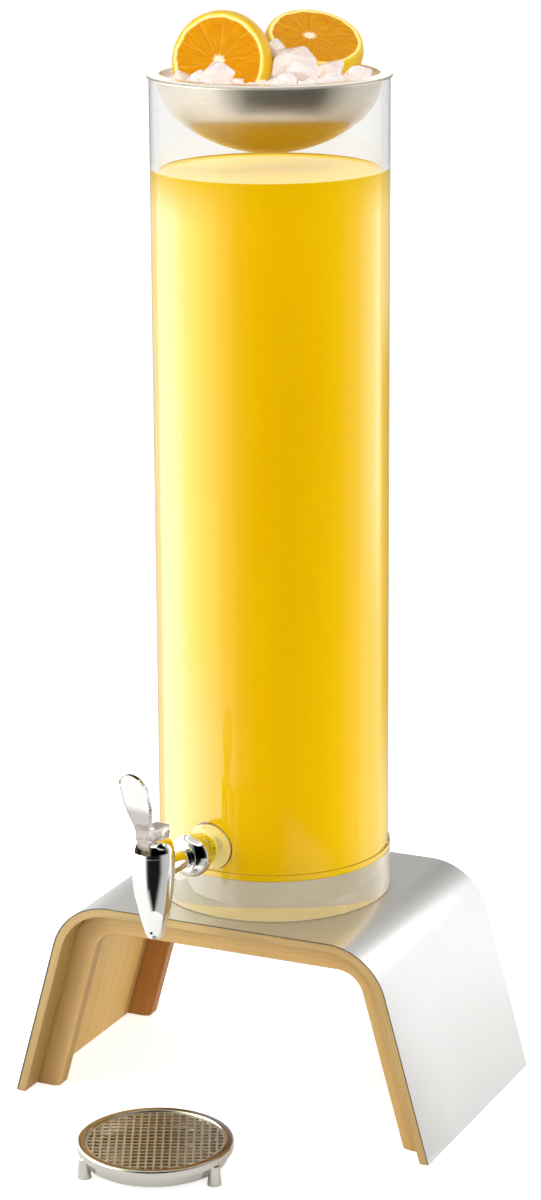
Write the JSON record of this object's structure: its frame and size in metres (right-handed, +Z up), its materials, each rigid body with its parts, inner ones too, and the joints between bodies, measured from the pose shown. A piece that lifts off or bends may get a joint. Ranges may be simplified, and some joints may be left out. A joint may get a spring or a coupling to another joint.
{
  "type": "juice dispenser",
  "caption": "Tall clear juice tank with an ice bowl in its mouth and a lever tap at its foot, on a bent wood stand, with a round drip tray in front.",
  "frame": {"origin": "on the table, in the middle of the footprint of the stand and the drip tray", "axes": "+Z up, -Y towards the tap and the person who fills a glass, +X to the right as seen from the front"},
  "size_m": [0.3152, 0.3134, 0.7552],
  "materials": {
    "clear_acrylic": "clear, polished",
    "clear_nut": "clear, moulded",
    "chrome": "mirror",
    "steel": "polished",
    "satin_steel": "satin",
    "laminate": "satin silver",
    "bamboo": "oiled",
    "rib_wood": "oiled",
    "silicone": "matt",
    "ice": "frosted",
    "orange": "fruit"
  },
  "bodies": {
    "stand": {"stand_shell": "bamboo", "stand_skin": "laminate", "rib_front": "rib_wood", "rib_rear": "rib_wood"},
    "tank": {"tank_base": "clear_acrylic", "tank_tube": "clear_acrylic", "tap_boss": "clear_acrylic", "shank_washer": "silicone", "tap_flange": "chrome", "inner_gasket": "silicone", "shank_nut": "clear_nut", "tap_body": "chrome", "tap_shank": "chrome", "tap_cap": "chrome", "pivot_pin": "steel", "valve_spring": "steel"},
    "lever": {"tap_lever": "clear_acrylic"},
    "stem": {"valve_stem": "steel", "stem_pin": "steel", "seat_cup": "silicone"},
    "bowl": {"ice_bowl": "satin_steel", "ice": "ice", "orange_half_front": "orange", "orange_half_rear": "orange"},
    "tray": {"tray_ring": "steel", "tray_cup": "steel", "tray_foot_1": "steel", "tray_foot_2": "steel", "tray_foot_3": "steel"},
    "grille": {"tray_grille": "steel"}
  },
  "joints": [
    {"name": "tank_lift", "type": "slide", "parent": "stand", "child": "tank", "axis": [0, 0, 1], "range_m": [0, 0.15]},
    {"name": "bowl_lift", "type": "slide", "parent": "tank", "child": "bowl", "axis": [0, 0, 1], "range_m": [0, 0.1]},
    {"name": "lever_tilt", "type": "hinge", "parent": "tank", "child": "lever", "pos_m": [-0.02567, -0.08001, 0.2185], "axis": [0.9848, -0.1736, 0], "range_deg": [0, 20], "stiffness_Nm_per_rad": 0.4, "springref_deg": -8.59},
    {"name": "stem_lift", "type": "slide", "parent": "tank", "child": "stem", "axis": [0, 0, 1], "range_m": [0, 0.0023], "deforming": ["valve_spring"]},
    {"name": "tray_slide", "type": "slide", "parent": "stand", "child": "tray", "axis": [0, -1, 0], "range_m": [0, 0.12]},
    {"name": "grille_lift", "type": "slide", "parent": "tray", "child": "grille", "axis": [0, 0, 1], "range_m": [0, 0.03]}
  ],
  "couplings": [
    {"joint": "stem_lift", "follows": "lever_tilt", "m_per_rad": 0.00647}
  ]
}
